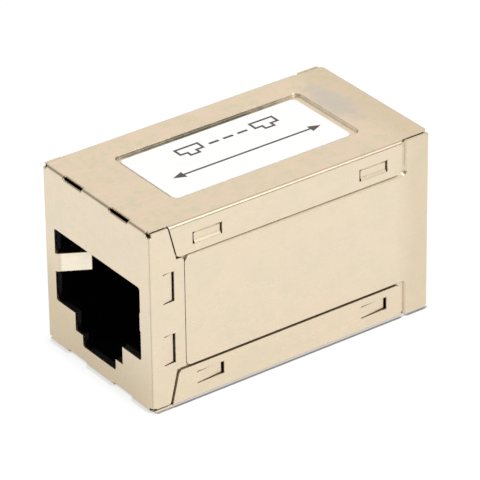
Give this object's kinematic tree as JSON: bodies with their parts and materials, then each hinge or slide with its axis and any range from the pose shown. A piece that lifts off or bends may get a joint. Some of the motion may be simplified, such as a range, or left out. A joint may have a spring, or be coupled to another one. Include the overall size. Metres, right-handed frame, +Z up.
{
  "type": "rj45 inline coupler",
  "caption": "Shielded inline coupler: a folded metal box with an RJ45 port in each end that joins two network leads end to end.",
  "frame": {"origin": "centre of the underside, midway between the two port faces", "axes": "+Z up, the front port faces -Y and the rear port faces +Y, with the latch channels downwards"},
  "size_m": [0.0152, 0.0284, 0.0167],
  "materials": {
    "shield_plating": "satin nickel plating with a warm, pale champagne tone",
    "label_film": "white printed label film",
    "black_housing": "moulded black plastic, slightly glossy",
    "contact_carrier": "moulded black plastic, satin",
    "board_laminate": "green solder mask on glass fibre laminate",
    "contact_gold": "gold flash on bronze springs"
  },
  "bodies": {
    "root": {"front_shell": "shield_plating", "rear_shell": "shield_plating", "label": "label_film", "front_jack_housing": "black_housing", "rear_jack_housing": "black_housing", "front_contact_carrier": "contact_carrier", "rear_contact_carrier": "contact_carrier", "circuit_board": "board_laminate", "front_contact_1": "contact_gold", "front_contact_2": "contact_gold", "front_contact_3": "contact_gold", "front_contact_4": "contact_gold", "front_contact_5": "contact_gold", "front_contact_6": "contact_gold", "front_contact_7": "contact_gold", "front_contact_8": "contact_gold", "rear_contact_1": "contact_gold", "rear_contact_2": "contact_gold", "rear_contact_3": "contact_gold", "rear_contact_4": "contact_gold", "rear_contact_5": "contact_gold", "rear_contact_6": "contact_gold", "rear_contact_7": "contact_gold", "rear_contact_8": "contact_gold"}
  },
  "joints": []
}
